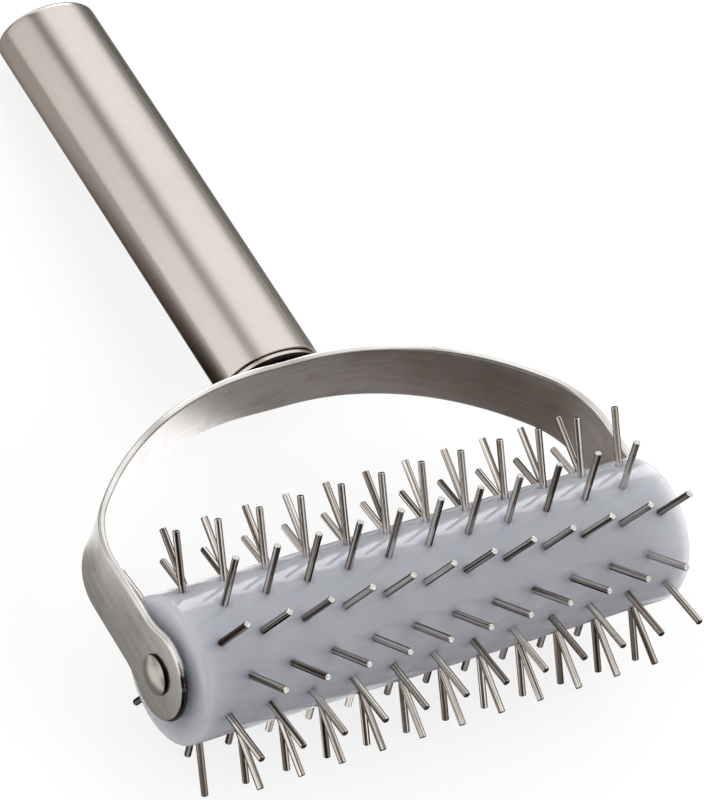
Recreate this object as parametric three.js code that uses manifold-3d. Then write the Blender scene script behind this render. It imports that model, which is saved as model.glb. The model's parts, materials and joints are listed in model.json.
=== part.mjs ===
// A dough docker: a roller set with steel pins, turning on an axle in a fork bent from flat bar,
// with an oval tube for a handle. It lies on a table as it does when it is put down: +Z is up, X runs
// along the axle, the handle points towards +Y, and it rests on two rows of pins and the handle's end.
// Lengths are in millimetres.

import * as THREE from 'three';
import { mergeVertices } from 'three/addons/utils/BufferGeometryUtils.js';
import Module from 'manifold-3d';

const wasm = await Module();
wasm.setup();

// Pins: rows all round the roller, alternately long and short, the short ones half a pitch off.
const PIN_ROWS = 12;
const PINS_IN_LONG_ROW = 12;
const PIN_PITCH = 10;
const PIN_DIAMETER = 1.5;
const PIN_REACH = 12.75;
const PIN_SOCKET_DEPTH = 6;
const PIN_FIT = 0.2;

// The first rows' pins are pieces of their own in sockets; the other rows are one with the roller.
const LOOSE_ROWS = 4;

// Roller
const ROLLER_DIAMETER = 31.8;
const ROLLER_END_MARGIN = 5.7;
const ROLLER_EDGE_RADIUS = 1;
const BORE_CLEARANCE = 0.3;

// Axle: a rod with a spigot through each arm of the fork, riveted over to a domed head.
const AXLE_DIAMETER = 8;
const SPIGOT_DIAMETER = 5.5;
const HEAD_DIAMETER = 8.5;
const HEAD_EDGE = 0.4;
const HEAD_DOME = 1.3;
const SEAM = 0.3;

// Fork: one flat bar. Each arm runs straight from the axle, bends in at the shoulder by its inside radius,
// and an even curve joins the shoulders to the flat seat under the handle.
const BAR_WIDTH = 15.8;
const BAR_THICKNESS = 1.5;
const BAR_EDGE_RADIUS = 0.5;
const SIDE_PLAY = 0.9;
const ARM_STRAIGHT = 24;
const SHOULDER_RADIUS = 20;
const ARCH_CLEARANCE = 30.75;
const SEAT_LENGTH = 12;
const EYE_MARGIN = 2.2;
const EYE_FILLET = 12;

// Handle: an oval tube with a cap in each end. The base cap stands in from the tube all round.
const HANDLE_WIDTH = 24.5;
const HANDLE_DEPTH = 18.3;
const TUBE_LENGTH = 104;
const TUBE_WALL = 1.2;
const CAP_SPIGOT = 6;
const CAP_FIT = 0.3;
const BASE_CAP_THICKNESS = 1.5;
const BASE_CAP_INSET = 0.7;
const BASE_CAP_EDGE = 0.5;
const END_CAP_THICKNESS = 2.5;
const END_CAP_EDGE = 1.8;

// Facets
const PIN_SIDES = 8;
const ROLLER_SIDES = 4 * PIN_ROWS;
const AXLE_SIDES = 32;
const OVAL_SIDES = 48;
const EDGE_STEPS = 4;
const CORNER_STEPS = 2;
const EYE_STEPS = 12;
const FILLET_STEPS = 4;
const BEND_STEPS = 9;

// Sizes that follow from those above
const rollerRadius = ROLLER_DIAMETER / 2;
const rollerLength = (PINS_IN_LONG_ROW - 1) * PIN_PITCH + 2 * ROLLER_END_MARGIN;
const tipRadius = rollerRadius + PIN_REACH;
const rowAngle = (2 * Math.PI) / PIN_ROWS;
const armInside = rollerLength / 2 + SIDE_PLAY;
const armOutside = armInside + BAR_THICKNESS;
const seatTop = tipRadius + ARCH_CLEARANCE + BAR_THICKNESS;
const tubeBottom = seatTop + SEAM + BASE_CAP_THICKNESS + SEAM;
const tubeTop = tubeBottom + TUBE_LENGTH;
const handleEnd = tubeTop + SEAM + END_CAP_THICKNESS;

// An edge is rounded by its radius, or by less where the wall is too thin for it.
const roundShare = 0.45;
const baseCapEdge = Math.min(BASE_CAP_EDGE, 2 * roundShare * BASE_CAP_THICKNESS);
const endCapEdge = Math.min(END_CAP_EDGE, 2 * roundShare * END_CAP_THICKNESS);

const steel = new THREE.MeshStandardMaterial({ color: 0xbdb6ac, roughness: 0.38, metalness: 1 });
const polishedSteel = new THREE.MeshStandardMaterial({ color: 0xcfc9c0, roughness: 0.18, metalness: 1 });
const pinSteel = new THREE.MeshStandardMaterial({ color: 0xa8a198, roughness: 0.22, metalness: 1 });
const plastic = new THREE.MeshStandardMaterial({ color: 0xb9bdc8, roughness: 0.32, metalness: 0 });

// A closed geometry as a solid that can be joined and cut, and back again.
function solidOf(geometry) {
  const bare = geometry.clone();
  bare.deleteAttribute('normal');
  bare.deleteAttribute('uv');
  const merged = mergeVertices(bare);
  const vertProperties = new Float32Array(merged.attributes.position.array);
  const triVerts = new Uint32Array(merged.index.array);
  return new wasm.Manifold(new wasm.Mesh({ numProp: 3, vertProperties, triVerts }));
}

function geometryOf(solid) {
  const { vertProperties, triVerts } = solid.getMesh();
  const geometry = new THREE.BufferGeometry();
  geometry.setAttribute('position', new THREE.BufferAttribute(vertProperties, 3));
  geometry.setIndex(new THREE.BufferAttribute(triVerts, 1));
  geometry.computeVertexNormals();
  return geometry;
}

// Skins a row of rings of points. The row closes on itself as a loop, or else its two ends are closed flat.
function skin(rings, isLoop) {
  const size = rings[0].length;
  const index = [];
  const bands = isLoop ? rings.length : rings.length - 1;
  for (let r = 0; r < bands; r++) {
    const near = r * size;
    const far = ((r + 1) % rings.length) * size;
    for (let k = 0; k < size; k++) {
      const next = (k + 1) % size;
      index.push(near + k, near + next, far + next);
      index.push(near + k, far + next, far + k);
    }
  }
  if (!isLoop) {
    const last = bands * size;
    for (let k = 1; k < size - 1; k++) {
      index.push(0, k + 1, k);
      index.push(last, last + k, last + k + 1);
    }
  }
  const geometry = new THREE.BufferGeometry().setFromPoints(rings.flat());
  geometry.setIndex(index);
  geometry.computeVertexNormals();
  return geometry;
}

// A quarter turn in equal steps, as [cosine, sine] pairs that start at [1, 0].
function quarterTurn(steps) {
  const turn = [];
  for (let i = 0; i <= steps; i++) {
    const angle = (i / steps) * (Math.PI / 2);
    turn.push([Math.cos(angle), Math.sin(angle)]);
  }
  return turn;
}

// A turned form about X from its profile of [radius, x] points, which runs towards +X on the outside.
function turnedAboutX(profile, sides, startAngle = 0) {
  const points = profile.map(([radius, x]) => new THREE.Vector2(radius, x));
  return new THREE.LatheGeometry(points, sides, startAngle).rotateZ(-Math.PI / 2);
}

// Where the pins of a row sit along the axle. Every second row is a short one.
function pinPlaces(row) {
  const count = PINS_IN_LONG_ROW - (row % 2);
  const places = [];
  for (let i = 0; i < count; i++) {
    places.push((i - (count - 1) / 2) * PIN_PITCH);
  }
  return places;
}

// A rod that stands out of the roller along -Z, from its seat to its tip.
function radialRod(diameter, seatRadius, endRadius) {
  const rod = new THREE.CylinderGeometry(diameter / 2, diameter / 2, endRadius - seatRadius, PIN_SIDES);
  return rod.translate(0, (seatRadius + endRadius) / 2, 0).rotateX(-Math.PI / 2);
}

function rollerBlank() {
  const bore = AXLE_DIAMETER / 2 + BORE_CLEARANCE;
  const end = rollerLength / 2;
  const flat = rollerRadius - ROLLER_EDGE_RADIUS;
  const arc = quarterTurn(EDGE_STEPS);
  const profile = [[bore, -end]];
  for (const [c, s] of arc) {
    profile.push([flat + ROLLER_EDGE_RADIUS * s, -end + ROLLER_EDGE_RADIUS * (1 - c)]);
  }
  for (const [c, s] of arc) {
    profile.push([flat + ROLLER_EDGE_RADIUS * c, end - ROLLER_EDGE_RADIUS * (1 - s)]);
  }
  profile.push([bore, end], [bore, -end]);
  return turnedAboutX(profile, ROLLER_SIDES, Math.PI / ROLLER_SIDES);
}

// The roller with its pins, turned so that two rows straddle the point straight below the axle.
function pinnedRoller() {
  const group = new THREE.Group();
  const seatRadius = rollerRadius - PIN_SOCKET_DEPTH;
  const pin = radialRod(PIN_DIAMETER, seatRadius, tipRadius);
  const socket = radialRod(PIN_DIAMETER + 2 * PIN_FIT, seatRadius - PIN_FIT, tipRadius);
  let body = solidOf(rollerBlank());
  for (let row = 0; row < PIN_ROWS; row++) {
    const isLoose = row < LOOSE_ROWS;
    pinPlaces(row).forEach((x, i) => {
      const placed = (isLoose ? socket : pin).clone().rotateX(row * rowAngle).translate(x, 0, 0);
      if (!isLoose) {
        body = body.add(solidOf(placed));
        return;
      }
      body = body.subtract(solidOf(placed));
      const mesh = new THREE.Mesh(pin, pinSteel);
      mesh.name = `pin_${row + 1}_${String(i + 1).padStart(2, '0')}`;
      mesh.position.x = x;
      mesh.rotation.x = row * rowAngle;
      group.add(mesh);
    });
  }
  const roller = new THREE.Mesh(geometryOf(body), plastic);
  roller.name = 'roller';
  group.add(roller);
  return group;
}

function axle() {
  const shoulder = armInside - SEAM;
  const headSeat = armOutside + SEAM;
  const half = [
    [AXLE_DIAMETER / 2, shoulder],
    [SPIGOT_DIAMETER / 2, shoulder],
    [SPIGOT_DIAMETER / 2, headSeat],
    [HEAD_DIAMETER / 2, headSeat],
  ];
  // The head is a low cap that meets its side at an angle.
  for (const [c, s] of quarterTurn(EDGE_STEPS)) {
    half.push([(HEAD_DIAMETER / 2) * c, headSeat + HEAD_EDGE + HEAD_DOME * s * s]);
  }
  const mirrored = half.map(([radius, x]) => [radius, -x]).reverse();
  const mesh = new THREE.Mesh(turnedAboutX([...mirrored, ...half], AXLE_SIDES), polishedSteel);
  mesh.name = 'axle';
  return mesh;
}

// Half the bar's width at places along one arm, from the eye's tip up to where the arm runs straight.
// Each is [distance from the axle, half width]: the round eye, then a hollow fillet into the bar.
function eyeOutline() {
  const half = BAR_WIDTH / 2;
  const eye = half + EYE_MARGIN;
  const filletAt = Math.sqrt((eye + EYE_FILLET) ** 2 - (half + EYE_FILLET) ** 2);
  const meet = Math.atan2(half + EYE_FILLET, filletAt);
  const tip = Math.PI - Math.asin(BAR_EDGE_RADIUS / eye);
  const outline = [];
  for (let i = 0; i < EYE_STEPS; i++) {
    const angle = tip + (meet - tip) * (i / EYE_STEPS);
    outline.push([eye * Math.cos(angle), eye * Math.sin(angle)]);
  }
  for (let i = 0; i <= FILLET_STEPS; i++) {
    const angle = meet + (Math.PI / 2 - meet) * (i / FILLET_STEPS);
    outline.push([filletAt - EYE_FILLET * Math.cos(angle), half + EYE_FILLET * (1 - Math.sin(angle))]);
  }
  return outline;
}

// Stations along the right half of the bar, from the eye's tip to the end of the flat seat on the crown:
// the middle of the bar, the angle of its outer face (0 faces +X) and its half width.
function forkStations() {
  const half = BAR_WIDTH / 2;
  const middle = BAR_THICKNESS / 2;
  const crownX = SEAT_LENGTH / 2;
  const shoulderX = armInside - SHOULDER_RADIUS;
  const across = shoulderX - crownX;
  const rise = seatTop - BAR_THICKNESS - ARM_STRAIGHT;
  const crownRadius = (across ** 2 + rise ** 2 - SHOULDER_RADIUS ** 2) / (2 * (rise - SHOULDER_RADIUS));
  const crownY = seatTop - BAR_THICKNESS - crownRadius;
  const meet = Math.atan2(ARM_STRAIGHT - crownY, across);
  const stations = eyeOutline().map(([y, width]) => ({ x: armInside + middle, y, angle: 0, width }));
  const bend = (centreX, centreY, radius, from, to) => {
    for (let i = 0; i <= BEND_STEPS; i++) {
      const angle = from + (to - from) * (i / BEND_STEPS);
      const x = centreX + (radius + middle) * Math.cos(angle);
      const y = centreY + (radius + middle) * Math.sin(angle);
      stations.push({ x, y, angle, width: half });
    }
  };
  bend(shoulderX, ARM_STRAIGHT, SHOULDER_RADIUS, 0, meet);
  stations.pop();
  bend(crownX, crownY, crownRadius, meet, Math.PI / 2);
  return stations;
}

// The bar's section at a station: a flat oblong with rounded edges, across the bar's own direction.
function barSection({ x, y, angle, width }) {
  const edge = Math.min(BAR_EDGE_RADIUS, roundShare * BAR_THICKNESS, width / 2);
  const flatOut = BAR_THICKNESS / 2 - edge;
  const flatSide = width - edge;
  const ring = [];
  for (const [cornerOut, cornerSide, start] of [[1, 1, 0], [-1, 1, 1], [-1, -1, 2], [1, -1, 3]]) {
    for (let i = 0; i <= CORNER_STEPS; i++) {
      const turn = (start + i / CORNER_STEPS) * (Math.PI / 2);
      const out = cornerOut * flatOut + edge * Math.cos(turn);
      const side = cornerSide * flatSide + edge * Math.sin(turn);
      ring.push(new THREE.Vector3(x + out * Math.cos(angle), y + out * Math.sin(angle), -side));
    }
  }
  return ring;
}

function fork() {
  const right = forkStations();
  const left = right.map(({ x, y, angle, width }) => ({ x: -x, y, angle: Math.PI - angle, width })).reverse();
  const bar = solidOf(skin([...right, ...left].map(barSection), false));
  const holeRadius = SPIGOT_DIAMETER / 2 + SEAM;
  const drill = new THREE.CylinderGeometry(holeRadius, holeRadius, 4 * armOutside, AXLE_SIDES);
  const mesh = new THREE.Mesh(geometryOf(bar.subtract(solidOf(drill.rotateZ(Math.PI / 2)))), steel);
  mesh.name = 'fork';
  return mesh;
}

// A ring of the handle's oval at a height along it, drawn in evenly by an inset.
function ovalRing(inset, y) {
  const ring = [];
  for (let k = 0; k < OVAL_SIDES; k++) {
    const angle = (k / OVAL_SIDES) * 2 * Math.PI;
    const x = (HANDLE_WIDTH / 2 - inset) * Math.sin(angle);
    const z = (HANDLE_DEPTH / 2 - inset) * Math.cos(angle);
    ring.push(new THREE.Vector3(x, y, z));
  }
  return ring;
}

function handleTube() {
  const outline = [[0, tubeBottom], [0, tubeTop], [TUBE_WALL, tubeTop], [TUBE_WALL, tubeBottom]];
  const mesh = new THREE.Mesh(skin(outline.map(([inset, y]) => ovalRing(inset, y)), true), steel);
  mesh.name = 'handle_tube';
  return mesh;
}

// A cap with its flange on Y = 0 and its spigot below, down in the tube's bore.
function handleCap(name, inset, thickness, edge) {
  const bore = TUBE_WALL + CAP_FIT;
  const rings = [ovalRing(bore, -CAP_SPIGOT), ovalRing(bore, 0), ovalRing(inset, 0)];
  for (const [c, s] of quarterTurn(EDGE_STEPS)) {
    rings.push(ovalRing(inset + edge * (1 - c), thickness - edge * (1 - s)));
  }
  const mesh = new THREE.Mesh(skin(rings, false), steel);
  mesh.name = name;
  return mesh;
}

function handle() {
  const group = new THREE.Group();
  const endCap = handleCap('handle_end_cap', 0, END_CAP_THICKNESS, endCapEdge);
  endCap.position.y = tubeTop + SEAM;
  const baseCap = handleCap('handle_base_cap', BASE_CAP_INSET, BASE_CAP_THICKNESS, baseCapEdge);
  baseCap.position.y = tubeBottom - SEAM;
  baseCap.rotation.z = Math.PI;
  group.add(handleTube(), endCap, baseCap);
  return group;
}

// How far the handle dips when the tool lies on two rows of pins and on the rounded edge of its end cap.
function restingDip() {
  const axleHeight = tipRadius * Math.cos(rowAngle / 2) + (PIN_DIAMETER / 2) * Math.sin(rowAngle / 2);
  const along = handleEnd - endCapEdge;
  const across = HANDLE_DEPTH / 2 - endCapEdge;
  return Math.asin((axleHeight - endCapEdge) / Math.hypot(along, across)) - Math.atan2(across, along);
}

const docker = new THREE.Group();
docker.name = 'dough_docker';
const dip = restingDip();
const roller = pinnedRoller();
roller.rotation.x = dip + rowAngle / 2;
docker.add(fork(), axle(), handle(), roller);
docker.rotation.x = -dip;

// It stands on Z = 0, centred on the origin.
docker.updateMatrixWorld(true);
const bounds = new THREE.Box3().setFromObject(docker, true);
docker.position.set(0, -(bounds.min.y + bounds.max.y) / 2, -bounds.min.z);

export default docker;
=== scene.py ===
import json
import math

import bmesh
import bpy
import numpy as np
from mathutils import Matrix, Vector


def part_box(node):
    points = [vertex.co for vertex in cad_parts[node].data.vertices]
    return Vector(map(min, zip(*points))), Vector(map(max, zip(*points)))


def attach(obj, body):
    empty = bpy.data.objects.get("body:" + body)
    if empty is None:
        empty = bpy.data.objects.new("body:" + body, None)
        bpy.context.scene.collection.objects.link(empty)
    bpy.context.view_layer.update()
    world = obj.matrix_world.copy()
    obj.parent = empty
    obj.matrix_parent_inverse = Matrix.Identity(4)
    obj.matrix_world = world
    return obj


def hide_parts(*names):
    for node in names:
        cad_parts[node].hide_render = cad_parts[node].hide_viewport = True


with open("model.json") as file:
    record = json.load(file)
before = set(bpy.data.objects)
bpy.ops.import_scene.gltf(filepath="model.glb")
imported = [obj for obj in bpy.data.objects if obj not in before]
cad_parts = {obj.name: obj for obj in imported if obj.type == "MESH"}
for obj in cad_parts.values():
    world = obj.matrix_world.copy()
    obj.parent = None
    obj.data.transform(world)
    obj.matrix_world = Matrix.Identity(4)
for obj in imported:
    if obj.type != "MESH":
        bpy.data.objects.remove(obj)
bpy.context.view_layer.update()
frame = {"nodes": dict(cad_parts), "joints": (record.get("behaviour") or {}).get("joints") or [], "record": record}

# Sizes that the solids' boxes don't give, in metres
MM = 0.001
PIN_ROWS = 12
PINS_IN_LONG_ROW = 12
PIN_PITCH = 10 * MM
PIN_RADIUS = 0.75 * MM
PIN_REACH = 12.75 * MM
PIN_ROOT = 0.8 * MM
PIN_TIP_BEVEL = 0.12 * MM
FIRST_ROW = math.radians(15)
ROLLER_RADIUS = 15.9 * MM
ROLLER_EDGE = 1.0 * MM
BORE_RADIUS = 4.3 * MM
AXLE_RADIUS = 4 * MM
SPIGOT_RADIUS = 2.75 * MM
HEAD_RADIUS = 4.25 * MM
HEAD_DOME = 1.3 * MM
HEAD_RIM = 0.12 * MM
HEAD_LIP = 0.18 * MM
BAR_WIDTH = 15.8 * MM
BAR_THICKNESS = 1.5 * MM
BAR_EDGE = 0.62 * MM
ARM_STRAIGHT = 24 * MM
SHOULDER_RADIUS = 20 * MM
SEAT_LENGTH = 12 * MM
EYE_FILLET = 12 * MM
TUBE_WALL = 1.2 * MM
TUBE_RIM = 0.15 * MM
CAP_FIT = 0.3 * MM
BASE_CAP_EDGE = 0.75 * MM
BASE_CAP_INSET = 0.7 * MM
END_CAP_EDGE = 1.92 * MM
SEAM = 0.3 * MM
HAIRLINE = 0.02 * MM
MERGE_DISTANCE = 0.0001 * MM

# Hollows where the moulding has sunk round each pin, and the knit line that the melt left behind it
DIMPLE_DEPTH = 0.22 * MM
DIMPLE_SPREAD = 1.15 * MM
SINK_DEPTH = 0.24 * MM
SINK_SPREAD = 3.0 * MM
KNIT_LENGTH = 9 * MM
KNIT_DEPTH = 0.02 * MM
KNIT_SPREAD = 0.35 * MM
KNIT_DROOP = 0.08

# Steps round and along the curved forms
OVAL_SIDES = 160
AXLE_SIDES = 96
ROLLER_SIDES = 240
ROLLER_STEPS = 300
PIN_SIDES = 12
CURVE_STEPS = 12
RIM_STEPS = 4
TUBE_RINGS = 14
EYE_STEPS = 36
ARM_STEPS = 5
BEND_STEPS = 40
SHARP_ANGLE = math.radians(38)

# Rings on a cap's flat end, as shares of its size
CAP_END_RINGS = (0.95, 0.6, 0.3, 0)

# The tool's own axes: X along the axle, Y up the handle, from the middle of the axle
axle_at = Vector(frame["joints"][0]["pos_m"])
handle_way = Vector(next(m["axis"] for m in frame["record"]["mounts"] if m["name"] == "handle_end"))
axle_way = Vector((1, 0, 0))
tool_axes = Matrix((axle_way, handle_way, axle_way.cross(handle_way))).transposed()
tool = Matrix.Translation(axle_at) @ tool_axes.to_4x4()
roller_place = Matrix.Translation(axle_at)


def extent(node):
    """The lowest and highest corner of a solid along the tool's axes."""
    to_tool = tool.inverted()
    corners = np.array([to_tool @ v.co for v in frame["nodes"][node].data.vertices])
    return corners.min(0), corners.max(0)


tube_low, tube_high = extent("handle_tube")
handle_half_width, tube_top, handle_half_depth = tube_high
tube_bottom = tube_low[1]
handle_end = extent("handle_end_cap")[1][1]
base_cap_bottom = extent("handle_base_cap")[0][1]
fork_low, fork_high = extent("fork")
arm_outside, seat_top = fork_high[:2]
arm_inside = arm_outside - BAR_THICKNESS
eye_radius = -fork_low[1]
head_top = extent("axle")[1][0]
roller_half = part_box("roller")[1].x
spigot_depth = tube_top + SEAM - extent("handle_end_cap")[0][1]


# Meshes

def solid(name, place, rings, uv=None, is_loop=False, layers=None):
    """Skins rows of closed rings into a mesh object, with its place in its vertices.

    uv has one more point in each ring than the ring itself, and one more ring where the rows
    close as a loop. layers holds a number for each point of the rings, by the layer's name.
    """
    rows, count = rings.shape[:2]
    row = np.arange(rows if is_loop else rows - 1)[:, None]
    spot = np.arange(count)[None, :]
    far, on = (row + 1) % rows, (spot + 1) % count
    here, ahead = row * count, far * count
    quads = np.stack([here + spot, here + on, ahead + on, ahead + spot], -1)
    points = rings.reshape(-1, 3) @ np.array(place.to_3x3()).T + np.array(place.translation)
    mesh = bpy.data.meshes.new(name)
    mesh.from_pydata(points, [], quads.reshape(-1, 4))
    if uv is not None:
        corners = [uv[row, spot], uv[row, spot + 1], uv[row + 1, spot + 1], uv[row + 1, spot]]
        grain = mesh.uv_layers.new(name="grain")
        grain.data.foreach_set("uv", np.stack(corners, 2).ravel())
    for key, values in (layers or {}).items():
        mesh.attributes.new(key, "FLOAT", "POINT").data.foreach_set("value", values.ravel())
    close_up(mesh)
    made = bpy.data.objects.new(name, mesh)
    bpy.context.scene.collection.objects.link(made)
    return made


def close_up(mesh):
    """Merges poles and seams, turns the faces outwards and shades them smooth between sharp edges."""
    form = bmesh.new()
    form.from_mesh(mesh)
    bmesh.ops.remove_doubles(form, verts=form.verts, dist=MERGE_DISTANCE)
    bmesh.ops.recalc_face_normals(form, faces=form.faces)
    form.to_mesh(mesh)
    form.free()
    mesh.polygons.foreach_set("use_smooth", np.ones(len(mesh.polygons), bool))
    mesh.set_sharp_from_angle(angle=SHARP_ANGLE)


def quarter_turn(steps):
    """[cosine, sine] pairs of a quarter turn that starts at [1, 0]."""
    turn = np.linspace(0, math.pi / 2, steps + 1)
    return np.stack([np.cos(turn), np.sin(turn)], 1)


def turned(profile, sides):
    """Rings about X from [radius, x] points."""
    profile = np.array(profile)
    turn = np.arange(sides) / sides * 2 * math.pi
    radius, along = profile[:, :1], profile[:, 1:]
    return np.stack([along + 0 * turn, radius * np.sin(turn), -radius * np.cos(turn)], -1)


def distance_along(points):
    """How far each of a row of points lies from the first one, along the row."""
    return np.concatenate([[0], np.cumsum(np.linalg.norm(np.diff(points, axis=0), axis=1))])


def dress(piece, finish, body, slot, *nodes):
    """Gives a piece its finish, the body that it rides on and the solids that it replaces."""
    piece.data.materials.clear()
    piece.data.materials.append(finish)
    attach(piece, body)
    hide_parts(*nodes)


# Handle

def oval(inset, along, scale=1.0):
    """A ring round the handle, set in from the tube's outside."""
    turn = np.arange(OVAL_SIDES) / OVAL_SIDES * 2 * math.pi
    across = scale * (handle_half_width - inset) * np.sin(turn)
    deep = scale * (handle_half_depth - inset) * np.cos(turn)
    return np.stack([across, along + 0 * turn, deep], -1)


def oval_grain(rings, is_loop=False):
    """A map in metres: round the oval, and along the handle with the wall's turns laid out flat."""
    widest = rings[np.ptp(rings[:, :, 0], 1).argmax()]
    around = distance_along(np.vstack([widest, widest[:1]]))
    along = distance_along(np.vstack([rings[:, 0], rings[:1, 0]]) if is_loop else rings[:, 0])
    return np.stack(np.broadcast_arrays(around[None, :], along[:, None]), -1)


def handle_tube(finish):
    """The oval tube, with its lower rim rounded and a hairline between its upper end and the cap."""
    rim = quarter_turn(RIM_STEPS)
    top = tube_top + SEAM - HAIRLINE
    outline = [(TUBE_RIM * (1 - s), tube_bottom + TUBE_RIM * (1 - c)) for c, s in rim]
    outline += [(0, along) for along in np.linspace(tube_bottom + 2 * TUBE_RIM, top, TUBE_RINGS)]
    outline += [(TUBE_WALL, top), (TUBE_WALL, tube_bottom)]
    rings = np.array([oval(inset, along) for inset, along in outline])
    piece = solid("satin_tube", tool, rings, oval_grain(rings, True), is_loop=True)
    dress(piece, finish, "frame", "satin_steel", "handle_tube")


def handle_cap(name, finish, inset, seat, end, edge, edge_shade, replaced):
    """A cap: a flange from its seat on the tube to its flat end, and a spigot in the bore.

    Its rounded edge and flat end get a share of painted shade, which stands in for the shadow in the gap where it
    meets the bar.
    """
    way = math.copysign(1, end - seat)
    bore = TUBE_WALL + CAP_FIT
    rings = [oval(bore, seat - way * spigot_depth, scale) for scale in (0, 1)]
    rings += [oval(bore, seat), oval(inset, seat)]
    for c, s in quarter_turn(CURVE_STEPS):
        rings.append(oval(inset + edge * (1 - c), end - way * edge * (1 - s)))
    shade_from = len(rings) - CURVE_STEPS
    rings += [oval(inset + edge, end, scale) for scale in CAP_END_RINGS]
    rings = np.array(rings)
    # Painted shade from the rounding onwards, for the shadow in the gap between the base cap and the bar
    gap_shade = np.zeros(rings.shape[:2])
    gap_shade[shade_from:] = edge_shade
    piece = solid(name, tool, rings, oval_grain(rings), layers={"gap_shade": gap_shade})
    dress(piece, finish, "frame", "satin_steel", replaced)


# Fork

def eye_curve(inset):
    """[distance from the axle, half width] from the eye's tip round to its fillet and the bar."""
    half = BAR_WIDTH / 2
    fillet_at = math.sqrt((eye_radius + EYE_FILLET) ** 2 - (half + EYE_FILLET) ** 2)
    meet = math.atan2(half + EYE_FILLET, fillet_at)
    eye = np.linspace(math.pi, meet, EYE_STEPS + 1)[:-1]
    fillet = np.linspace(meet, math.pi / 2, CURVE_STEPS + 1)
    round_eye = (eye_radius - inset) * np.stack([np.cos(eye), np.sin(eye)], 1)
    hollow = (EYE_FILLET + inset) * np.stack([np.cos(fillet), np.sin(fillet)], 1)
    return np.vstack([round_eye, (fillet_at, half + EYE_FILLET) - hollow])


def bar_line():
    """The middle of the bar, as [x, y, angle of its outer face], from the right eye to the crown."""
    middle = BAR_THICKNESS / 2
    crown_x = SEAT_LENGTH / 2
    shoulder_x = arm_inside - SHOULDER_RADIUS
    across = shoulder_x - crown_x
    rise = seat_top - BAR_THICKNESS - ARM_STRAIGHT
    crown_radius = (across ** 2 + rise ** 2 - SHOULDER_RADIUS ** 2) / (2 * (rise - SHOULDER_RADIUS))
    crown_y = seat_top - BAR_THICKNESS - crown_radius
    meet = math.atan2(ARM_STRAIGHT - crown_y, across)
    start = eye_curve(0)[-1, 0]
    line = [(arm_inside + middle, y, 0.0) for y in np.linspace(start, ARM_STRAIGHT, ARM_STEPS + 1)[1:-1]]
    for turn in np.linspace(0, meet, BEND_STEPS)[:-1]:
        reach = SHOULDER_RADIUS + middle
        line.append((shoulder_x + reach * math.cos(turn), ARM_STRAIGHT + reach * math.sin(turn), turn))
    for turn in np.linspace(meet, math.pi / 2, BEND_STEPS):
        reach = crown_radius + middle
        line.append((crown_x + reach * math.cos(turn), crown_y + reach * math.sin(turn), turn))
    return line


def bar_section():
    """The bar's section as [out from the middle, inset from the edge, share of the width, rim]."""
    flats = (-1, -0.94, -0.5, 0, 0.5, 0.94, 1)
    flat_out = BAR_THICKNESS / 2 - BAR_EDGE
    arc = quarter_turn(CURVE_STEPS // 2)[1:]
    corner = [(flat_out + BAR_EDGE * c, BAR_EDGE * (1 - s)) for c, s in arc]
    edge = corner + [(-out, inset) for out, inset in reversed(corner)]
    points = [(BAR_THICKNESS / 2, BAR_EDGE, share, 0) for share in flats]
    points += [(out, inset, 1, 1) for out, inset in edge]
    points += [(-BAR_THICKNESS / 2, BAR_EDGE, -share, 0) for share in flats]
    points += [(-out, inset, -1, 1) for out, inset in edge]
    return points


def fork(finish):
    """One flat bar bent to an arch, with an eye at each end."""
    section = bar_section()
    middle = [share for _, _, share, _ in section].index(0)
    eye_rows = [eye_curve(inset) for _, inset, _, _ in section]
    rings = []
    for station in range(len(eye_rows[0])):
        ring = []
        for (out, _, share, _), outline in zip(section, eye_rows):
            along, half = outline[station]
            ring.append((arm_inside + BAR_THICKNESS / 2 + out, along, -share * half))
        rings.append(ring)
    for x, y, angle in bar_line():
        ring = []
        for out, inset, share, _ in section:
            half = BAR_WIDTH / 2 - inset
            ring.append((x + out * math.cos(angle), y + out * math.sin(angle), -share * half))
        rings.append(ring)
    right = np.array(rings)
    left = right[::-1] * (-1, 1, 1)
    rings = np.vstack([right, left])
    along = distance_along(rings[:, middle])
    closed = np.concatenate([rings, rings[:, :1]], 1)
    sides = np.linalg.norm(np.diff(closed, axis=1), axis=2)
    around = np.concatenate([np.zeros((len(rings), 1)), np.cumsum(sides, 1)], 1)
    from_middle = around - around[:, middle, None]
    uv = np.stack(np.broadcast_arrays(from_middle, along[:, None]), -1)
    rim = np.broadcast_to(np.array([point[3] for point in section], float), rings.shape[:2])
    tip = np.clip(-rings[:, :, 1] / eye_radius, 0, 1)
    piece = solid("bent_bar", tool, rings, uv, layers={"rim": rim.copy(), "tip": tip})
    drill_rivet_holes(piece)
    dress(piece, finish, "frame", "satin_steel", "fork")


def drill_rivet_holes(piece):
    """Cuts the axle's hole through both arms."""
    hole = SPIGOT_RADIUS + SEAM
    reach = 2 * arm_outside
    profile = [(0, -reach), (hole, -reach), (hole, reach), (0, reach)]
    drill = solid("drill", tool, turned(profile, AXLE_SIDES))
    cut = piece.modifiers.new("rivet holes", "BOOLEAN")
    cut.operation = "DIFFERENCE"
    cut.solver = "EXACT"
    cut.object = drill
    bake_modifiers(piece)
    bpy.data.objects.remove(drill)


def bake_modifiers(piece):
    """Turns what a piece's modifiers make of it into a plain mesh."""
    bpy.context.view_layer.update()
    evaluated = piece.evaluated_get(bpy.context.evaluated_depsgraph_get())
    mesh = bpy.data.meshes.new_from_object(evaluated)
    piece.modifiers.clear()
    piece.data = mesh


# Axle

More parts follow.
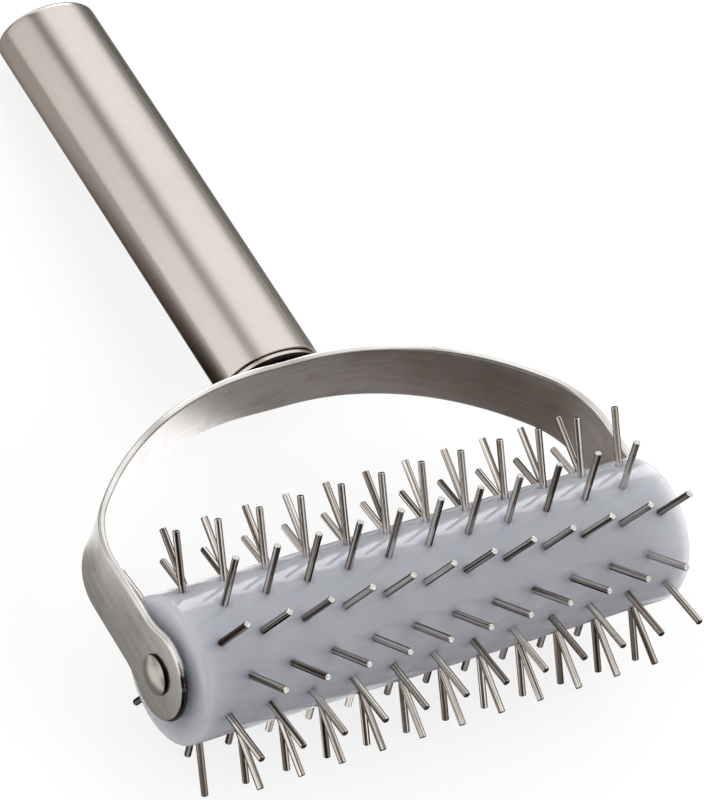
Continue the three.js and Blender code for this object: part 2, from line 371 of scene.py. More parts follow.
def axle(finish):
    """A rod with shoulders inside the arms and a riveted head outside each, painted black as shade under and round
    each head.
    """
    shoulder = arm_inside - SEAM
    head_seat = arm_outside + SEAM
    head_side = head_top - HEAD_DOME
    lip_seat = arm_outside + HAIRLINE
    # The third number is painted shade: the spigot, lip, underside and side wall of each head are black, for the
    # shadow in the gap round it
    half = [(AXLE_RADIUS, shoulder, 0), (SPIGOT_RADIUS, shoulder, 1), (SPIGOT_RADIUS, lip_seat, 1)]
    lip = quarter_turn(RIM_STEPS)
    half += [(HEAD_RADIUS + HEAD_LIP * c, lip_seat + HEAD_LIP * s, 1) for c, s in lip]
    half.append((HEAD_RADIUS - HEAD_RIM, head_seat, 1))
    half += [(HEAD_RADIUS, head_seat + HEAD_RIM, 1), (HEAD_RADIUS, head_side - HEAD_RIM, 1)]
    dome = quarter_turn(2 * CURVE_STEPS)
    half += [(HEAD_RADIUS * c, head_side + HEAD_DOME * s * s, 0) for c, s in dome]
    profile = np.array([(radius, -x, gap_shade) for radius, x, gap_shade in reversed(half)] + half)
    rings = turned(profile[:, :2], AXLE_SIDES)
    gap_shade = np.repeat(profile[:, 2:], AXLE_SIDES, 1)
    piece = solid("rivet_axle", tool, rings, layers={"gap_shade": gap_shade})
    dress(piece, finish, "frame", "polished_steel", "axle")


# Roller

def pin_marks(along, turn):
    """How much of a dimple, a sink and a knit line there is at places on the roller, from 0 to 1; the dimples also
    mark where shade round the pins' roots is painted.
    """
    dimple_and_root_shade = np.zeros(np.broadcast(along, turn).shape)
    sink, knit = dimple_and_root_shade.copy(), dimple_and_root_shade.copy()
    for row in range(PIN_ROWS):
        count = PINS_IN_LONG_ROW - row % 2
        row_turn = FIRST_ROW + row * 2 * math.pi / PIN_ROWS
        around = ROLLER_RADIUS * ((turn - row_turn + math.pi) % (2 * math.pi) - math.pi)
        place = along / PIN_PITCH + (count - 1) / 2
        beside = PIN_PITCH * (place - np.clip(np.round(place), 0, count - 1))
        apart = np.hypot(around, beside)
        dimple_and_root_shade = np.maximum(dimple_and_root_shade, np.exp(-((apart / DIMPLE_SPREAD) ** 2)))
        sink = sink + np.exp(-((apart / SINK_SPREAD) ** 2))
        behind = PIN_PITCH * (np.clip(np.ceil(place), 0, count - 1) - place)
        fade = np.clip(1 - behind / KNIT_LENGTH, 0, 1) * (behind > 0)
        line = np.exp(-(((around + KNIT_DROOP * behind) / KNIT_SPREAD) ** 2))
        knit = np.maximum(knit, fade * line)
    return dimple_and_root_shade, np.clip(sink, 0, 1), knit


def roller(finish):
    """The moulded barrel with its bore, sunk a little round each pin."""
    arc = quarter_turn(CURVE_STEPS // 2)
    flat = ROLLER_RADIUS - ROLLER_EDGE
    edge_from = roller_half - ROLLER_EDGE
    right_edge = [(flat + ROLLER_EDGE * c, edge_from + ROLLER_EDGE * s) for c, s in arc]
    barrel = np.linspace(-edge_from, edge_from, ROLLER_STEPS + 1)[1:-1]
    profile = [(radius, -x) for radius, x in reversed(right_edge)]
    profile += [(ROLLER_RADIUS, x) for x in barrel]
    profile += right_edge + [(BORE_RADIUS, roller_half), (BORE_RADIUS, -roller_half)]
    rings = turned(profile, ROLLER_SIDES)
    turn = np.arange(ROLLER_SIDES) / ROLLER_SIDES * 2 * math.pi
    along = np.array([x for _, x in profile])[:, None]
    is_barrel = np.array([radius >= ROLLER_RADIUS - HAIRLINE for radius, _ in profile])[:, None]
    dimple_and_root_shade, sink, knit = (mark * is_barrel for mark in pin_marks(along, turn[None, :]))
    depth = DIMPLE_DEPTH * dimple_and_root_shade + SINK_DEPTH * sink + KNIT_DEPTH * knit
    rings[:, :, 1:] *= (1 - depth / ROLLER_RADIUS)[:, :, None]
    # The dimples' marks also paint shade round each pin's root, in the roller's finish
    marks = {"dimple_and_root_shade": dimple_and_root_shade, "knit": knit}
    piece = solid("moulded_roller", roller_place, rings, is_loop=True, layers=marks)
    dress(piece, finish, "roller", "white_plastic", "roller")


# Pins

def pin_template():
    """One pin that stands out along -Z, cut square and lightly bevelled at its tip."""
    root, tip = ROLLER_RADIUS - PIN_ROOT, ROLLER_RADIUS + PIN_REACH
    profile = [(0, root), (PIN_RADIUS, root), (PIN_RADIUS, tip - PIN_TIP_BEVEL)]
    profile += [(PIN_RADIUS - PIN_TIP_BEVEL, tip), (0, tip)]
    rings = turned(profile, PIN_SIDES)
    cut_end = np.zeros(rings.shape[:2])
    # The cut end is paler steel, and its bevelled rim gets a painted highlight
    cut_end[-2] = CUT_RIM_SHINE
    cut_end[-1] = CUT_MIDDLE_SHINE
    around = np.arange(PIN_SIDES + 1) / PIN_SIDES * 2 * math.pi * PIN_RADIUS
    along = np.array(profile)[:, 1]
    grain = np.stack(np.broadcast_arrays(around[None, :], along[:, None]), -1)
    upright = Matrix.Rotation(math.pi / 2, 4, "Y")
    return solid("pin_template", upright, rings, grain, layers={"cut_end": cut_end})


def node(tree, kind, inputs=None, **settings):
    """Adds a node. inputs gives its sockets, by name or number, a value or another node's output."""
    made = tree.nodes.new(kind)
    for key, value in settings.items():
        setattr(made, key, value)
    for key, value in (inputs or {}).items():
        if isinstance(value, bpy.types.NodeSocket):
            tree.links.new(value, made.inputs[key])
        else:
            made.inputs[key].default_value = value
    return made


def sum_of(tree, operation, first, second=0.0):
    """The result of a sum on one or two values."""
    return node(tree, "ShaderNodeMath", {0: first, 1: second}, operation=operation).outputs[0]


def pin_pattern():
    """A tree that sets rows of pins round a roller, every other row short and half a pitch off."""
    tree = bpy.data.node_groups.new("pin_pattern", "GeometryNodeTree")
    wanted = [("Geometry", "Geometry"), ("Pin", "Object"), ("Rows", "Int"), ("Pins in long row", "Int")]
    wanted += [("Pitch", "Float"), ("First row", "Float"), ("Finish", "Material")]
    for name, kind in wanted:
        tree.interface.new_socket(name, in_out="INPUT", socket_type="NodeSocket" + kind)
    tree.interface.new_socket("Geometry", in_out="OUTPUT", socket_type="NodeSocketGeometry")
    given = node(tree, "NodeGroupInput").outputs
    in_long, rows = given["Pins in long row"], given["Rows"]
    in_pair = sum_of(tree, "SUBTRACT", sum_of(tree, "MULTIPLY", in_long, 2), 1)
    index = node(tree, "GeometryNodeInputIndex").outputs[0]
    pair = sum_of(tree, "FLOOR", sum_of(tree, "DIVIDE", index, in_pair))
    in_rows = sum_of(tree, "SUBTRACT", index, sum_of(tree, "MULTIPLY", pair, in_pair))
    is_short = sum_of(tree, "GREATER_THAN", in_rows, sum_of(tree, "SUBTRACT", in_long, 0.5))
    row = sum_of(tree, "ADD", sum_of(tree, "MULTIPLY", pair, 2), is_short)
    in_row = sum_of(tree, "SUBTRACT", in_rows, sum_of(tree, "MULTIPLY", is_short, in_long))
    last = sum_of(tree, "SUBTRACT", sum_of(tree, "SUBTRACT", in_long, is_short), 1)
    from_middle = sum_of(tree, "SUBTRACT", in_row, sum_of(tree, "MULTIPLY", last, 0.5))
    along = sum_of(tree, "MULTIPLY", from_middle, given["Pitch"])
    row_turn = sum_of(tree, "DIVIDE", 2 * math.pi, rows)
    turn = sum_of(tree, "ADD", given["First row"], sum_of(tree, "MULTIPLY", row, row_turn))
    pins = sum_of(tree, "MULTIPLY", in_pair, sum_of(tree, "MULTIPLY", rows, 0.5))
    seats = node(tree, "ShaderNodeCombineXYZ", {"X": along})
    about_axle = node(tree, "ShaderNodeCombineXYZ", {"X": turn})
    turns = node(tree, "FunctionNodeEulerToRotation", {0: about_axle.outputs[0]})
    points = node(tree, "GeometryNodePoints", {"Count": pins, "Position": seats.outputs[0]})
    shape = node(tree, "GeometryNodeObjectInfo", {"Object": given["Pin"]})
    placed = node(tree, "GeometryNodeInstanceOnPoints", {
        "Points": points.outputs[0],
        "Instance": shape.outputs["Geometry"],
        "Rotation": turns.outputs[0],
    })
    numbered = node(
        tree, "GeometryNodeStoreNamedAttribute",
        {"Geometry": placed.outputs[0], "Name": "pin", "Value": index},
        domain="INSTANCE", data_type="FLOAT",
    )
    real = node(tree, "GeometryNodeRealizeInstances", {0: numbered.outputs[0]})
    finished = node(tree, "GeometryNodeSetMaterial", {
        "Geometry": real.outputs[0],
        "Material": given["Finish"],
    })
    node(tree, "NodeGroupOutput", {0: finished.outputs[0]})
    return tree


def pins(finish):
    """All the pins, set by the pattern and then moved to the axle."""
    template = pin_template()
    tree = pin_pattern()
    piece = bpy.data.objects.new("drawn_pins", bpy.data.meshes.new("drawn_pins"))
    bpy.context.scene.collection.objects.link(piece)
    pattern = piece.modifiers.new("pins", "NODES")
    pattern.node_group = tree
    sizes = {"Pin": template, "Rows": PIN_ROWS, "Pins in long row": PINS_IN_LONG_ROW}
    sizes.update({"Pitch": PIN_PITCH, "First row": FIRST_ROW, "Finish": finish})
    for socket in tree.interface.items_tree:
        if socket.in_out == "INPUT" and socket.name in sizes:
            pattern[socket.identifier] = sizes[socket.name]
    bake_modifiers(piece)
    piece.data.transform(roller_place)
    bpy.data.objects.remove(template)
    nodes = [name for name in frame["nodes"] if name.startswith("pin_")]
    dress(piece, finish, "roller", "pin_steel", *nodes)


# Finishes

# Lines in a metre across and along the grain, and how finely they break up
FINE_LINES = {"across": 3200, "along": 40, "detail": 4.0}
BROAD_LINES = {"across": 1250, "along": 45, "detail": 2.0}
DRAWN_LINES = {"across": 1700, "along": 9, "detail": 1.0}

# How far apart two pins' streaks are taken from the noise, so that no two pins look alike
PIN_APART = 7.31
# How pale each pin's cut end is: its bevelled rim is palest, a painted highlight, and its middle less so
CUT_RIM_SHINE = 1.0
CUT_MIDDLE_SHINE = 0.6
STAIN_SHADE = 0.75
# Near-black painted shade, for the shadow in the gaps under the rivet heads and the base cap
GAP_SHADE_COLOUR = (0.02, 0.016, 0.013, 1)
PLASTIC_DEPTH = 28 * MM


def finish_of(name):
    """A new node material, its tree and its main shader."""
    material = bpy.data.materials.new(name)
    material.use_nodes = True
    return material, material.node_tree, material.node_tree.nodes["Principled BSDF"]


def ramp(tree, factor, *stops):
    """A colour ramp of (place, colour or grey) stops."""
    made = node(tree, "ShaderNodeValToRGB", {"Fac": factor})
    while len(made.color_ramp.elements) < len(stops):
        made.color_ramp.elements.new(0.5)
    for element, (place, colour) in zip(made.color_ramp.elements, stops):
        element.position = place
        element.color = (*colour, 1) if isinstance(colour, tuple) else (colour, colour, colour, 1)
    return made.outputs["Color"]


def noise(tree, vector, scale, detail=3.0, roughness=0.55):
    settings = {"Vector": vector, "Scale": scale, "Detail": detail, "Roughness": roughness}
    return node(tree, "ShaderNodeTexNoise", settings).outputs["Fac"]


def mixed(tree, factor, first, second):
    """A colour between the first and the second, which the factor gives more of."""
    made = node(tree, "ShaderNodeMix", data_type="RGBA")
    for socket, value in ((made.inputs[0], factor), (made.inputs[6], first), (made.inputs[7], second)):
        if isinstance(value, bpy.types.NodeSocket):
            tree.links.new(value, socket)
        else:
            socket.default_value = value
    return made.outputs[2]


def span(tree, value, low, high):
    """A value from 0 to 1 spread from low to high."""
    return node(tree, "ShaderNodeMapRange", {"Value": value, "To Min": low, "To Max": high}).outputs[0]


def bumped(tree, shader, height, strength, distance):
    made = node(tree, "ShaderNodeBump", {"Height": height, "Strength": strength, "Distance": distance})
    tree.links.new(made.outputs[0], shader.inputs["Normal"])


def grain_lines(tree, across, along, detail, offset=0.0):
    """Noise drawn out along the piece's grain map, with this many lines in a metre each way."""
    grain = node(tree, "ShaderNodeUVMap", uv_map="grain").outputs[0]
    drawn = node(tree, "ShaderNodeMapping", {"Vector": grain, "Scale": (across, along, 1)}).outputs[0]
    apart = node(tree, "ShaderNodeCombineXYZ", {"Z": offset}).outputs[0]
    moved = node(tree, "ShaderNodeVectorMath", {0: drawn, 1: apart}, operation="ADD").outputs[0]
    return noise(tree, moved, 1.0, detail, 0.6)


def object_place(tree):
    return node(tree, "ShaderNodeTexCoord").outputs["Object"]


def layer(tree, name):
    """The number that each vertex holds under a name."""
    return node(tree, "ShaderNodeAttribute", attribute_name=name).outputs["Fac"]


def brushed_steel(tree, shader, dark, light, roughness, drawn_out, broad):
    """Makes satin steel with brush lines and faint stains, and returns its colour.

    drawn_out says how far the lines spread a reflection, and broad the share of broad lines.
    """
    fine_lines = sum_of(tree, "MULTIPLY", grain_lines(tree, **FINE_LINES), 1 - broad)
    broad_lines = sum_of(tree, "MULTIPLY", grain_lines(tree, **BROAD_LINES), broad)
    brushed = sum_of(tree, "ADD", fine_lines, broad_lines)
    lined = ramp(tree, brushed, (0.32, dark), (0.68, light))
    stains = ramp(tree, noise(tree, object_place(tree), 38.0), (0.35, 0.0), (0.7, 0.12))
    stained = tuple(channel * STAIN_SHADE for channel in dark)
    tree.links.new(span(tree, brushed, *roughness), shader.inputs["Roughness"])
    shader.inputs["Metallic"].default_value = 1.0
    shader.inputs["Anisotropic"].default_value = drawn_out
    tangent = node(tree, "ShaderNodeTangent", direction_type="UV_MAP", uv_map="grain")
    tree.links.new(tangent.outputs[0], shader.inputs["Tangent"])
    bumped(tree, shader, brushed, 0.08, 0.02 * MM)
    return mixed(tree, stains, lined, (*stained, 1))


def tube_steel():
    """The handle's warm satin steel, painted black as shade in the gap where the base cap meets the bar."""
    material, tree, shader = finish_of("tube_steel")
    dark, light = (0.765, 0.705, 0.645), (0.825, 0.762, 0.7)
    colour = brushed_steel(tree, shader, dark, light, (0.14, 0.2), 0.85, 0.2)
    # Painted shade: near black where the base cap meets the bar, for the shadow in that gap
    colour = mixed(tree, layer(tree, "gap_shade"), colour, GAP_SHADE_COLOUR)
    tree.links.new(colour, shader.inputs["Base Color"])
    shader.inputs["Specular Tint"].default_value = (0.55, 0.52, 0.49, 1)
    return material


def bar_steel():
    """The fork's brushed steel: brown tarnish, rubbed edges and dark scuffs round its tips."""
    material, tree, shader = finish_of("bar_steel")
    dark, light = (0.67, 0.635, 0.605), (0.86, 0.825, 0.79)
    colour = brushed_steel(tree, shader, dark, light, (0.18, 0.28), 0.7, 0.5)
    brown = noise(tree, object_place(tree), 110.0, 5.0, 0.65)
    tarnish = ramp(tree, brown, (0.5, 0.0), (0.72, 0.4))
    colour = mixed(tree, tarnish, colour, (0.38, 0.31, 0.24, 1))
    rim = layer(tree, "rim")
    patches = noise(tree, object_place(tree), 300.0, 4.0, 0.65)
    worn = sum_of(tree, "ADD", sum_of(tree, "MULTIPLY", layer(tree, "tip"), 0.55), patches)
    scuffs = sum_of(tree, "MULTIPLY", rim, ramp(tree, worn, (0.76, 0.0), (0.9, 1.0)))
    rubbed = ramp(
        tree, noise(tree, object_place(tree), 32.0, 2.0),
        (0.38, (0.4, 0.38, 0.36)), (0.47, (0.78, 0.75, 0.715)), (0.58, (0.96, 0.94, 0.91)),
    )
    colour = mixed(tree, sum_of(tree, "MULTIPLY", rim, 0.8), colour, rubbed)
    colour = mixed(tree, scuffs, colour, (0.05, 0.042, 0.036, 1))
    tree.links.new(colour, shader.inputs["Base Color"])
    return material


def rivet_steel():
    """A riveted head, faintly dented by the riveting tool, painted black as shade under it and round its side."""
    material, tree, shader = finish_of("rivet_steel")
    place = object_place(tree)
    cloud = noise(tree, place, 420.0)
    colour = ramp(tree, cloud, (0.3, (0.49, 0.455, 0.41)), (0.7, (0.6, 0.565, 0.515)))
    # Painted shade: black under and round the head, for the shadow in the gap round it
    colour = mixed(tree, layer(tree, "gap_shade"), colour, GAP_SHADE_COLOUR)
    tree.links.new(colour, shader.inputs["Base Color"])
    tree.links.new(span(tree, cloud, 0.26, 0.34), shader.inputs["Roughness"])
    shader.inputs["Metallic"].default_value = 1.0
    bumped(tree, shader, noise(tree, place, 900.0, 2.0), 0.03, 0.05 * MM)
    return material


def pin_steel():
    """Drawn wire, streaked light and dark along its sides, paler where it was cut, with a painted highlight on the
    cut end's rim.
    """
    material, tree, shader = finish_of("pin_steel")
    offset = sum_of(tree, "MULTIPLY", layer(tree, "pin"), PIN_APART)
    drawn = grain_lines(tree, **DRAWN_LINES, offset=offset)
    colour = ramp(
        tree, drawn,
        (0.36, (0.1, 0.078, 0.064)), (0.44, (0.42, 0.37, 0.325)),
        (0.53, (0.72, 0.668, 0.61)), (0.62, (0.93, 0.89, 0.835)),
    )
    # Paler cut steel on the end, with a painted highlight on its bevelled rim
    cut = sum_of(tree, "MULTIPLY", layer(tree, "cut_end"), 0.9)
    colour = mixed(tree, cut, colour, (0.76, 0.74, 0.705, 1))
    tree.links.new(colour, shader.inputs["Base Color"])
    tree.links.new(span(tree, drawn, 0.05, 0.12), shader.inputs["Roughness"])
    shader.inputs["Metallic"].default_value = 1.0
    shader.inputs["Specular Tint"].default_value = (0.03, 0.02, 0.015, 1)
    bumped(tree, shader, drawn, 0.06, 0.01 * MM)
    return material


def roller_plastic():
    """Glossy moulded plastic, faintly clouded, with painted shade round the pins' roots and darker along the knit
    lines.
    """
    material, tree, shader = finish_of("roller_plastic")
    place = object_place(tree)
    cloud = noise(tree, place, 55.0)
    colour = ramp(tree, cloud, (0.3, (0.375, 0.384, 0.423)), (0.7, (0.415, 0.424, 0.465)))
    # Painted shade: darker round each pin's root, for the contact shadow there, over its real dimple
    dimple_and_root_shade = sum_of(tree, "MULTIPLY", layer(tree, "dimple_and_root_shade"), 0.55)
    colour = mixed(tree, dimple_and_root_shade, colour, (0.2, 0.195, 0.24, 1))
    knit = sum_of(tree, "MULTIPLY", layer(tree, "knit"), 0.5)
    colour = mixed(tree, knit, colour, (0.3, 0.295, 0.34, 1))
    tree.links.new(colour, shader.inputs["Base Color"])
    tree.links.new(span(tree, cloud, 0.07, 0.13), shader.inputs["Roughness"])
    shader.inputs["Subsurface Weight"].default_value = 1.0
    shader.inputs["Subsurface Radius"].default_value = (1, 1, 1)
    shader.inputs["Subsurface Scale"].default_value = PLASTIC_DEPTH
    bumped(tree, shader, noise(tree, place, 1800.0, 2.0), 0.05, 0.02 * MM)
    return material


# Studio

FLOOR_SIZE = 8.0
FLOOR_GLOW = 0.76
FLOOR_SHADE = 0.26
FLOOR_GREY = 0.8
SHELL_RADIUS = 20.0
DARK_FRONT = (0.1, 0.08, 0.075, 1)
LAMP_WAY = (0.51, 0.79, 0.33)
LAMP_FULL = 8
LAMP_EDGE = 15
CARD_REACH = 0.6
CARD_LIFT = 0.3 * MM

# Middles and half widths of the cards laid on the floor, in millimetres along X and Y
FORK_CARD = {"middle": (36, -54), "reach": (60, 60)}
ARM_CARD = {"middle": (-62, -52), "reach": (25, 31)}
BRIGHT_CARD = {"middle": (-28, -19), "reach": (22, 8)}

# Length of the cards beside the handle, where they start from its middle, and their slant
HANDLE_CARD_LENGTH = 160.0
LEFT_CARD_FROM = 15.0
LEFT_CARD_SLANT = -0.25
RIGHT_CARD_FROM = 22.0
RIGHT_CARD_SLANT = 0.12

CAMERA_AZIMUTH = math.radians(-52.688)
CAMERA_ELEVATION = math.radians(50.516)
CAMERA_ROLL = math.radians(30.145)
CAMERA_DISTANCE = 1.0092
CAMERA_AIM = Vector((-1.397, -31.762, 46.470)) * MM
CAMERA_LENS = 217.04
CAMERA_SENSOR = 36.0


def shown(tree):
    """1 for the camera's rays and those that metal and glass send on, which show white."""
    path = node(tree, "ShaderNodeLightPath").outputs
    seen = sum_of(tree, "ADD", path["Is Camera Ray"], path["Is Glossy Ray"])
    return sum_of(tree, "ADD", seen, path["Is Transmission Ray"])


def square_sheet(name, reach, height):
    """A flat square, reaching this far each way from the middle."""
    mesh = bpy.data.meshes.new(name)
    corners = [(x * reach, y * reach, height) for x, y in ((-1, -1), (1, -1), (1, 1), (-1, 1))]
    mesh.from_pydata(corners, [], [(0, 1, 2, 3)])
    return mesh


def stage_piece(name, mesh):
    """Puts a mesh on the stage with an empty material. Returns its object and the material."""
    made = bpy.data.objects.new(name, mesh)
    bpy.context.scene.collection.objects.link(made)
    material = bpy.data.materials.new(name)
    material.use_nodes = True
    material.node_tree.nodes.clear()
    mesh.materials.append(material)
    return made, material


def floor():
    """A pale floor, white to the camera and in the steel, on which the object keeps a faint shadow."""
    _, material = stage_piece("floor", square_sheet("floor", FLOOR_SIZE / 2, 0))
    tree = material.node_tree
    glow = node(tree, "ShaderNodeEmission", {"Strength": FLOOR_GLOW})
    shade = node(tree, "ShaderNodeBsdfDiffuse", {"Color": (FLOOR_SHADE,) * 3 + (1,)})
    seen = node(tree, "ShaderNodeAddShader", {0: glow.outputs[0], 1: shade.outputs[0]})
    grey = node(tree, "ShaderNodeBsdfDiffuse", {"Color": (FLOOR_GREY,) * 3 + (1,)})
    both = node(tree, "ShaderNodeMixShader", {0: shown(tree), 1: grey.outputs[0], 2: seen.outputs[0]})
    node(tree, "ShaderNodeOutputMaterial", {"Surface": both.outputs[0]})


def step(tree, value, start, end, low=0.0, high=1.0):
    """A smooth step from low to high as the value goes from start to end."""
    limits = {"Value": value, "From Min": start, "From Max": end, "To Min": low, "To Max": high}
    return node(tree, "ShaderNodeMapRange", limits, interpolation_type="SMOOTHSTEP").outputs[0]


def along_axis(tree, way, axis):
    """How far a ray goes along one of the tool's axes, from -1 to 1."""
    facing = {0: way, 1: tool_axes @ Vector(axis).normalized()}
    return node(tree, "ShaderNodeVectorMath", facing, operation="DOT_PRODUCT").outputs["Value"]


def card(tree, way, towards, full, edge):
    """How much of a round card a ray meets: all up to the full angle, none past the edge, in degrees."""
    at_edge = math.cos(math.radians(edge))
    at_full = math.cos(math.radians(full))
    return step(tree, along_axis(tree, way, towards), at_edge, at_full)


def ray_parts(tree, way):
    """How far a ray goes along each of the tool's axes, and its turn about the handle in half turns."""
    across = along_axis(tree, way, (1, 0, 0))
    along = along_axis(tree, way, (0, 1, 0))
    up = along_axis(tree, way, (0, 0, 1))
    return across, along, up, sum_of(tree, "DIVIDE", sum_of(tree, "ARCTAN2", up, across), math.pi)


def far_end(tree, along):
    """The part of the studio past the end of the handle."""
    return step(tree, along, 0.44, 0.6)


def front_left(tree, across, along, up):
    """The front of the studio below its lamps, and the left part of that."""
    front = sum_of(tree, "MULTIPLY", step(tree, along, -0.15, -0.45), step(tree, up, -0.66, -0.55))
    return front, sum_of(tree, "MULTIPLY", front, step(tree, across, 0.2, -0.1))


def studio_light():
    """Soft boxes at both sides, behind and at the front right, in a room that shows white."""
    world = bpy.data.worlds.new("studio")
    bpy.context.scene.world = world
    world.use_nodes = True
    world.cycles.sampling_method = "NONE"
    tree = world.node_tree
    tree.nodes.clear()
    way = node(tree, "ShaderNodeTexCoord").outputs["Generated"]
    across, along, up, share = ray_parts(tree, way)
    near_boxes = ramp(
        tree, share,
        (0.0, 0.4), (0.05, 0.42), (0.155, 1.2), (0.46, 1.36), (0.54, 0.4),
        (0.58, 0.4), (0.65, 1.16), (0.9, 1.06), (1.0, 0.95),
    )
    far_boxes = ramp(
        tree, share,
        (0.0, 0.04), (0.05, 0.06), (0.145, 1.2), (0.46, 1.36), (0.54, 0.08),
        (0.58, 0.08), (0.65, 0.8), (0.9, 0.78), (1.0, 0.7),
    )
    surround = mixed(tree, far_end(tree, along), near_boxes, far_boxes)
    side = sum_of(tree, "MULTIPLY", step(tree, along, 0.38, 0.26), step(tree, across, -0.1, -0.4))
    surround = mixed(tree, side, surround, (1.65, 1.65, 1.65, 1))
    back = sum_of(tree, "MULTIPLY", step(tree, along, 0.58, 0.64), step(tree, up, 0.0, 0.2))
    back = sum_of(tree, "MULTIPLY", back, step(tree, across, 0.25, -0.05))
    surround = mixed(tree, back, surround, (1.45, 1.45, 1.45, 1))
    front, dark = front_left(tree, across, along, up)
    surround = mixed(tree, dark, surround, DARK_FRONT)
    front = sum_of(tree, "MULTIPLY", front, step(tree, across, 0.25, 0.45))
    surround = mixed(tree, front, surround, (2.0, 2.0, 2.0, 1))
    light = node(tree, "ShaderNodeBackground", {"Color": surround, "Strength": 1.0})
    white = node(tree, "ShaderNodeBackground", {"Color": (1, 1, 1, 1), "Strength": 1.0})
    both = node(tree, "ShaderNodeMixShader", {0: shown(tree), 1: light.outputs[0], 2: white.outputs[0]})
    node(tree, "ShaderNodeOutputWorld", {"Surface": both.outputs[0]})


def studio_card(name, mesh, cards):
    """A sheet that is clear but for its cards, which the steel mirrors and the camera doesn't see."""
    made, material = stage_piece(name, mesh)
    material.cycles.emission_sampling = "NONE"
    tree = material.node_tree
    sheet = node(tree, "ShaderNodeBsdfTransparent").outputs[0]
    for cover, colour in cards(tree):
        glow = node(tree, "ShaderNodeEmission", {"Color": colour})
        sheet = node(tree, "ShaderNodeMixShader", {0: cover, 1: sheet, 2: glow.outputs[0]}).outputs[0]
    node(tree, "ShaderNodeOutputMaterial", {"Surface": sheet})
    made.visible_camera = False
    made.visible_diffuse = False
    made.visible_shadow = False


def hung_cards(tree):
    """Dim cards over the handle, low on its right, far on its left and in front, and a lamp."""
    way = node(tree, "ShaderNodeVectorMath", {0: object_place(tree)}, operation="NORMALIZE").outputs[0]
    across, along, up, share = ray_parts(tree, way)
    far = far_end(tree, along)
    strip = ramp(tree, share, (0.46, 0.0), (0.54, 1.0), (0.58, 1.0), (0.65, 0.0))
    low = ramp(tree, share, (0.05, 1.0), (0.155, 0.0))
    left = sum_of(tree, "MULTIPLY", far, ramp(tree, share, (0.58, 0.0), (0.65, 1.0)))
    _, dark = front_left(tree, across, along, up)
    return (
        (left, (0.62, 0.61, 0.6, 1)),
        (strip, mixed(tree, far, (0.4, 0.39, 0.38, 1), (0.11, 0.1, 0.095, 1))),
        (low, mixed(tree, far, (0.32, 0.315, 0.31, 1), (0.05, 0.047, 0.045, 1))),
        (dark, DARK_FRONT),
        (card(tree, way, LAMP_WAY, LAMP_FULL, LAMP_EDGE), (3.8, 3.8, 3.8, 1)),
    )


def from_card(tree, place, middle, reach):
    """How far places lie from the middle of a card along X and Y, as shares of its reach."""
    return [
        sum_of(tree, "DIVIDE", sum_of(tree, "SUBTRACT", at, centre), half)
        for at, centre, half in zip(place, middle, reach)
    ]


def flat_length(tree, x, y):
    """How long a step of x and y is."""
    flat = node(tree, "ShaderNodeCombineXYZ", {"X": x, "Y": y}).outputs[0]
    return node(tree, "ShaderNodeVectorMath", {0: flat}, operation="LENGTH").outputs["Value"]


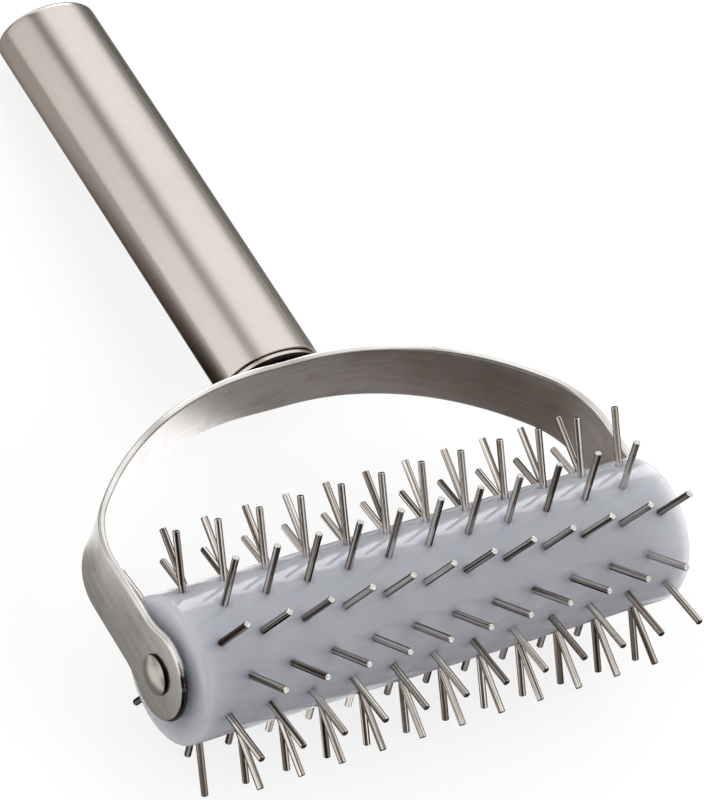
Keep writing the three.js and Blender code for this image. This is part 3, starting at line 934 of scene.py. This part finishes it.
def laid_cards(tree):
    """Painted shade for the steel to mirror: dim cards in the fork, before the roller, under the left arm and
    beside the handle, where the floor lies in the tool's shade.

    A small bright card, a painted pool of light for the steel to mirror, lies between the left arm and the handle.
    """
    place = node(tree, "ShaderNodeSeparateXYZ", {0: object_place(tree)}).outputs
    x = sum_of(tree, "DIVIDE", place["X"], MM)
    y = sum_of(tree, "DIVIDE", place["Y"], MM)
    in_fork = flat_length(tree, *from_card(tree, (x, y), **FORK_CARD))
    dark = ramp(
        tree, in_fork,
        (0.05, (0.075, 0.06, 0.05)), (0.17, (0.14, 0.12, 0.105)),
        (0.27, (0.23, 0.21, 0.205)), (0.7, (0.28, 0.265, 0.265)),
    )
    beside, past = from_card(tree, (x, y), **ARM_CARD)
    from_arm = flat_length(tree, beside, sum_of(tree, "MAXIMUM", past, 0.0))
    from_bright = flat_length(tree, *from_card(tree, (x, y), **BRIGHT_CARD))
    behind = step(tree, y, -8, 0)
    from_left = sum_of(tree, "ADD", x, LEFT_CARD_FROM)
    slanted = sum_of(tree, "ADD", y, sum_of(tree, "MULTIPLY", from_left, LEFT_CARD_SLANT))
    brown = ramp(
        tree, sum_of(tree, "DIVIDE", slanted, HANDLE_CARD_LENGTH),
        (0.05, (0.024, 0.017, 0.015)), (0.13, (0.075, 0.06, 0.052)), (0.22, (0.13, 0.11, 0.1)),
        (0.35, (0.23, 0.205, 0.19)), (0.45, (0.34, 0.315, 0.3)), (0.6, (0.4, 0.37, 0.35)),
        (0.8, (0.34, 0.31, 0.285)),
    )
    up_handle = sum_of(tree, "DIVIDE", y, HANDLE_CARD_LENGTH)
    grey = ramp(tree, up_handle, (0.0, 0.4), (0.25, 0.3), (0.5, 0.22), (0.95, 0.14))
    from_right = sum_of(tree, "SUBTRACT", x, RIGHT_CARD_FROM)
    edge = sum_of(tree, "SUBTRACT", from_right, sum_of(tree, "MULTIPLY", y, RIGHT_CARD_SLANT))
    # Painted shade of the floor round the tool and one painted pool of light, seen only in the steel
    return (
        (step(tree, in_fork, 0.84, 0.74), dark),
        (step(tree, y, -90, -97), (0.05, 0.04, 0.035, 1)),
        (step(tree, from_arm, 1.12, 0.92), (0.265, 0.253, 0.245, 1)),
        (step(tree, from_bright, 1.3, 0.9), (1.5, 1.48, 1.53, 1)),
        (sum_of(tree, "MULTIPLY", behind, step(tree, x, -5, -10)), brown),
        (sum_of(tree, "MULTIPLY", behind, step(tree, edge, -9, 3)), grey),
    )


def studio_cards():
    """Hangs the cards on a far shell and lays the others on a sheet just above the floor."""
    shell = bmesh.new()
    bmesh.ops.create_icosphere(shell, subdivisions=3, radius=SHELL_RADIUS)
    hung = bpy.data.meshes.new("hung_cards")
    shell.to_mesh(hung)
    shell.free()
    studio_card("hung_cards", hung, hung_cards)
    studio_card("laid_cards", square_sheet("laid_cards", CARD_REACH, CARD_LIFT), laid_cards)


def camera_turn():
    heading = Matrix.Rotation(CAMERA_AZIMUTH, 4, "Z")
    tilt = Matrix.Rotation(math.pi / 2 - CAMERA_ELEVATION, 4, "X")
    return heading @ tilt @ Matrix.Rotation(CAMERA_ROLL, 4, "Z")


def camera():
    """The photograph's viewpoint: from the front left, high up, with the picture rolled."""
    lens = bpy.data.cameras.new("camera")
    lens.lens = CAMERA_LENS
    lens.sensor_fit = "VERTICAL"
    lens.sensor_height = CAMERA_SENSOR
    made = bpy.data.objects.new("camera", lens)
    bpy.context.scene.collection.objects.link(made)
    stand = Matrix.Translation((0, 0, CAMERA_DISTANCE))
    made.matrix_world = Matrix.Translation(CAMERA_AIM) @ camera_turn() @ stand
    bpy.context.scene.camera = made


handle_steel = tube_steel()
handle_tube(handle_steel)
handle_cap(
    "end_cap", handle_steel, inset=0, seat=tube_top + SEAM, end=handle_end,
    edge=END_CAP_EDGE, edge_shade=0, replaced="handle_end_cap",
)
handle_cap(
    "base_cap", handle_steel, inset=BASE_CAP_INSET, seat=tube_bottom - SEAM, end=base_cap_bottom,
    edge=BASE_CAP_EDGE, edge_shade=1, replaced="handle_base_cap",
)
fork(bar_steel())
axle(rivet_steel())
roller(roller_plastic())
pins(pin_steel())
floor()
studio_light()
studio_cards()
camera()
bpy.context.scene.view_settings.view_transform = "Standard"
